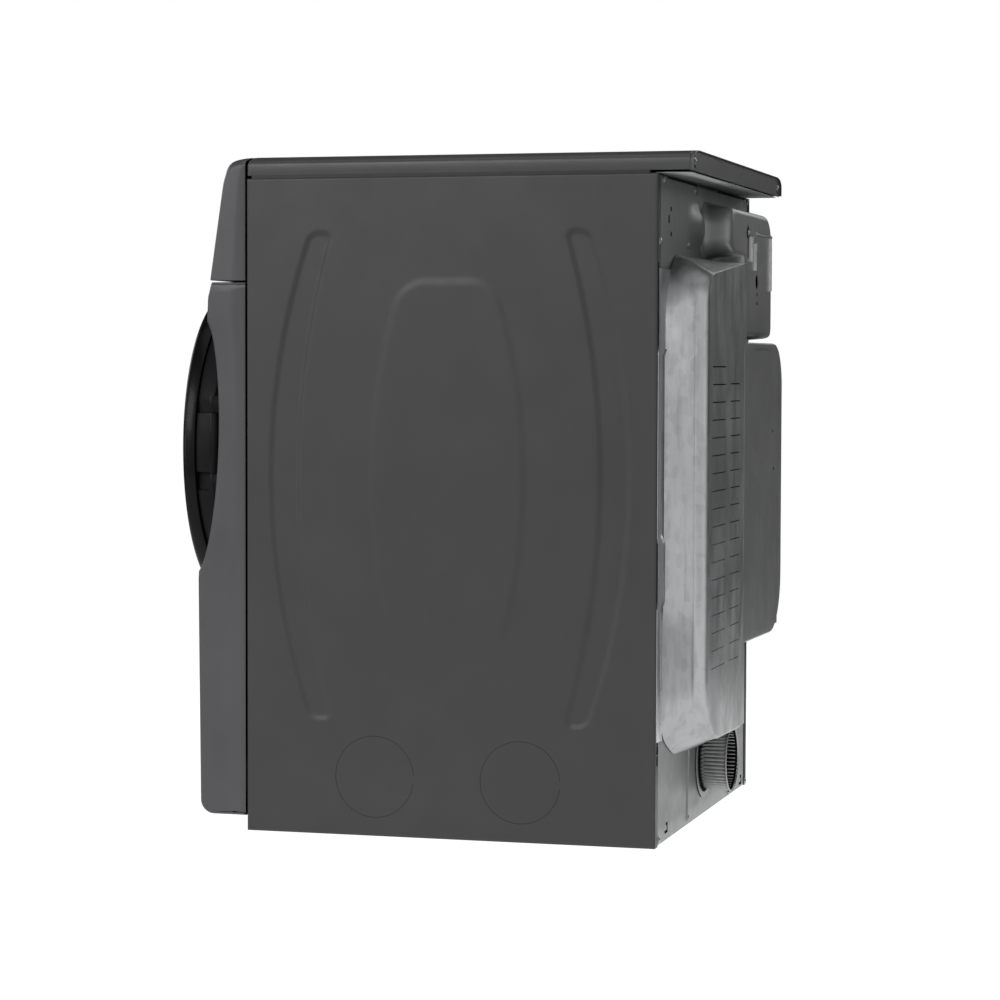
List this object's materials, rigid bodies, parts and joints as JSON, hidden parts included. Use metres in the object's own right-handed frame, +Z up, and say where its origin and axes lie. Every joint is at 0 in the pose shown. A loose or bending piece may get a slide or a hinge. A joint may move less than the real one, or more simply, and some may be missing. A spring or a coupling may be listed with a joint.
{
  "type": "clothes dryer",
  "caption": "Free-standing front-loading electric clothes dryer with pressed side panels, round door, tumbling drum, lint filter and rear exhaust spigot.",
  "frame": {"origin": "on the floor under the middle of the machine's box", "axes": "+X towards the hinge side, +Y towards the back, +Z up"},
  "size_m": [0.686, 0.829, 0.986],
  "materials": {
    "cabinet_steel": "satin charcoal powder coat on pressed steel",
    "front_paint": "satin grey metallic paint",
    "panel_plastic": "grey metallic paint on moulded plastic",
    "galvanised": "spangled zinc-coated steel",
    "dark_cover": "satin dark grey coat",
    "black_gloss": "polished black plastic",
    "black_plastic": "fine-grained black plastic",
    "grey_plastic": "moulded dark grey plastic",
    "white_plastic": "moulded off-white plastic",
    "display": "dark glass",
    "door_glass": "smoked tempered glass",
    "bowl_glass": "clear pressed glass",
    "drum_steel": "brushed stainless steel",
    "felt": "pressed wool felt",
    "rubber": "black rubber",
    "motor_iron": "laminated iron and cast end bells",
    "knob_metal": "spun satin aluminium",
    "circuit": "green circuit board",
    "heater_wire": "heat-browned resistance wire",
    "hinge_steel": "black phosphated steel",
    "zinc_screw": "plated steel screw heads"
  },
  "bodies": {
    "cabinet": {"side_panel_right": "cabinet_steel", "side_panel_left": "cabinet_steel", "top_panel": "cabinet_steel", "top_rear_plate": "cabinet_steel", "lid_spacers": "rubber", "base_pan": "galvanised", "rear_panel": "cabinet_steel", "drum_rear_cover": "galvanised", "rear_duct_cover": "dark_cover", "terminal_cover": "dark_cover", "terminal_block": "black_plastic", "exhaust_spigot": "galvanised", "exhaust_duct": "galvanised", "front_panel": "front_paint", "control_panel": "panel_plastic", "fascia_insert": "black_gloss", "display_window": "display", "control_board": "circuit", "front_bulkhead": "galvanised", "front_throat": "white_plastic", "rear_bulkhead": "galvanised", "felt_seals": "felt", "roller_shafts": "zinc_screw", "drum_belt": "rubber", "motor": "motor_iron", "motor_bracket": "galvanised", "blower_housing": "white_plastic", "filter_housing": "white_plastic", "heater_housing": "galvanised", "heater_coils": "heater_wire", "thermostats": "black_plastic", "hinge_bracket": "black_plastic", "door_latch": "white_plastic", "rear_screws": "zinc_screw"},
    "door": {"door_ring": "black_gloss", "door_glass": "door_glass", "door_inner_frame": "grey_plastic", "door_bowl": "bowl_glass", "hinge_leaf": "hinge_steel", "hinge_pin": "hinge_steel", "door_strike": "zinc_screw"},
    "drum": {"drum": "drum_steel", "drum_baffles": "white_plastic"},
    "filter": {"lint_filter": "white_plastic"},
    "knob": {"knob": "knob_metal"},
    "power_button": {"power_button": "grey_plastic"},
    "start_button": {"start_button": "grey_plastic"},
    "option_button_1": {"option_button_1": "grey_plastic"},
    "option_button_2": {"option_button_2": "grey_plastic"},
    "option_button_3": {"option_button_3": "grey_plastic"},
    "rotor": {"blower_wheel": "black_plastic", "motor_pulley": "zinc_screw"},
    "roller_right": {"roller_right": "rubber"},
    "roller_left": {"roller_left": "rubber"},
    "idler_arm": {"idler_arm": "galvanised"},
    "idler_pulley": {"idler_pulley": "white_plastic"},
    "foot_front_right": {"foot_front_right": "rubber"},
    "foot_front_left": {"foot_front_left": "rubber"},
    "foot_rear_right": {"foot_rear_right": "rubber"},
    "foot_rear_left": {"foot_rear_left": "rubber"}
  },
  "joints": [
    {"name": "door_swing", "type": "hinge", "parent": "cabinet", "child": "door", "pos_m": [0.256, -0.3465, 0.575], "axis": [0, 0, 1], "range_deg": [0, 110]},
    {"name": "drum_spin", "type": "hinge", "parent": "cabinet", "child": "drum", "pos_m": [0, 0.0365, 0.557], "axis": [0, 1, 0], "continuous": true},
    {"name": "filter_slide", "type": "slide", "parent": "cabinet", "child": "filter", "axis": [0, 0, 1], "range_m": [0, 0.2]},
    {"name": "foot_front_left", "type": "slide", "parent": "cabinet", "child": "foot_front_left", "axis": [0, 0, -1], "range_m": [0, 0.02]},
    {"name": "foot_front_right", "type": "slide", "parent": "cabinet", "child": "foot_front_right", "axis": [0, 0, -1], "range_m": [0, 0.02]},
    {"name": "foot_rear_left", "type": "slide", "parent": "cabinet", "child": "foot_rear_left", "axis": [0, 0, -1], "range_m": [0, 0.02]},
    {"name": "foot_rear_right", "type": "slide", "parent": "cabinet", "child": "foot_rear_right", "axis": [0, 0, -1], "range_m": [0, 0.02]},
    {"name": "idler_tension", "type": "hinge", "parent": "cabinet", "child": "idler_arm", "pos_m": [-0.1, 0.1355, 0.053], "axis": [0, 1, 0], "range_deg": [-8, 0], "stiffness_Nm_per_rad": 4, "springref_deg": 28.65},
    {"name": "idler_spin", "type": "hinge", "parent": "idler_arm", "child": "idler_pulley", "pos_m": [-0.092, 0.1225, 0.133], "axis": [0, 1, 0], "continuous": true},
    {"name": "knob_turn", "type": "hinge", "parent": "cabinet", "child": "knob", "pos_m": [0, -0.30907, 0.88912], "axis": [0, -0.9895, 0.1444], "continuous": true},
    {"name": "option_button_1_press", "type": "slide", "parent": "cabinet", "child": "option_button_1", "axis": [0, 0.9895, -0.1444], "range_m": [0, 0.0015], "stiffness_N_per_m": 300, "springref_m": -0.003},
    {"name": "option_button_2_press", "type": "slide", "parent": "cabinet", "child": "option_button_2", "axis": [0, 0.9895, -0.1444], "range_m": [0, 0.0015], "stiffness_N_per_m": 300, "springref_m": -0.003},
    {"name": "option_button_3_press", "type": "slide", "parent": "cabinet", "child": "option_button_3", "axis": [0, 0.9895, -0.1444], "range_m": [0, 0.0015], "stiffness_N_per_m": 300, "springref_m": -0.003},
    {"name": "power_button_press", "type": "slide", "parent": "cabinet", "child": "power_button", "axis": [0, 0.9895, -0.1444], "range_m": [0, 0.002], "stiffness_N_per_m": 300, "springref_m": -0.003},
    {"name": "roller_left_spin", "type": "hinge", "parent": "cabinet", "child": "roller_left", "pos_m": [-0.20714, 0.2775, 0.2719], "axis": [0, 1, 0], "continuous": true},
    {"name": "roller_right_spin", "type": "hinge", "parent": "cabinet", "child": "roller_right", "pos_m": [0.20714, 0.2775, 0.2719], "axis": [0, 1, 0], "continuous": true},
    {"name": "rotor_spin", "type": "hinge", "parent": "cabinet", "child": "rotor", "pos_m": [-0.14, 0.0475, 0.115], "axis": [0, 1, 0], "continuous": true},
    {"name": "start_button_press", "type": "slide", "parent": "cabinet", "child": "start_button", "axis": [0, 0.9895, -0.1444], "range_m": [0, 0.002], "stiffness_N_per_m": 300, "springref_m": -0.003}
  ],
  "couplings": [
    {"joint": "rotor_spin", "follows": "drum_spin", "ratio": 22.643},
    {"joint": "idler_spin", "follows": "drum_spin", "ratio": 15.85},
    {"joint": "roller_right_spin", "follows": "drum_spin", "ratio": -9.0571},
    {"joint": "roller_left_spin", "follows": "drum_spin", "ratio": -9.0571}
  ]
}
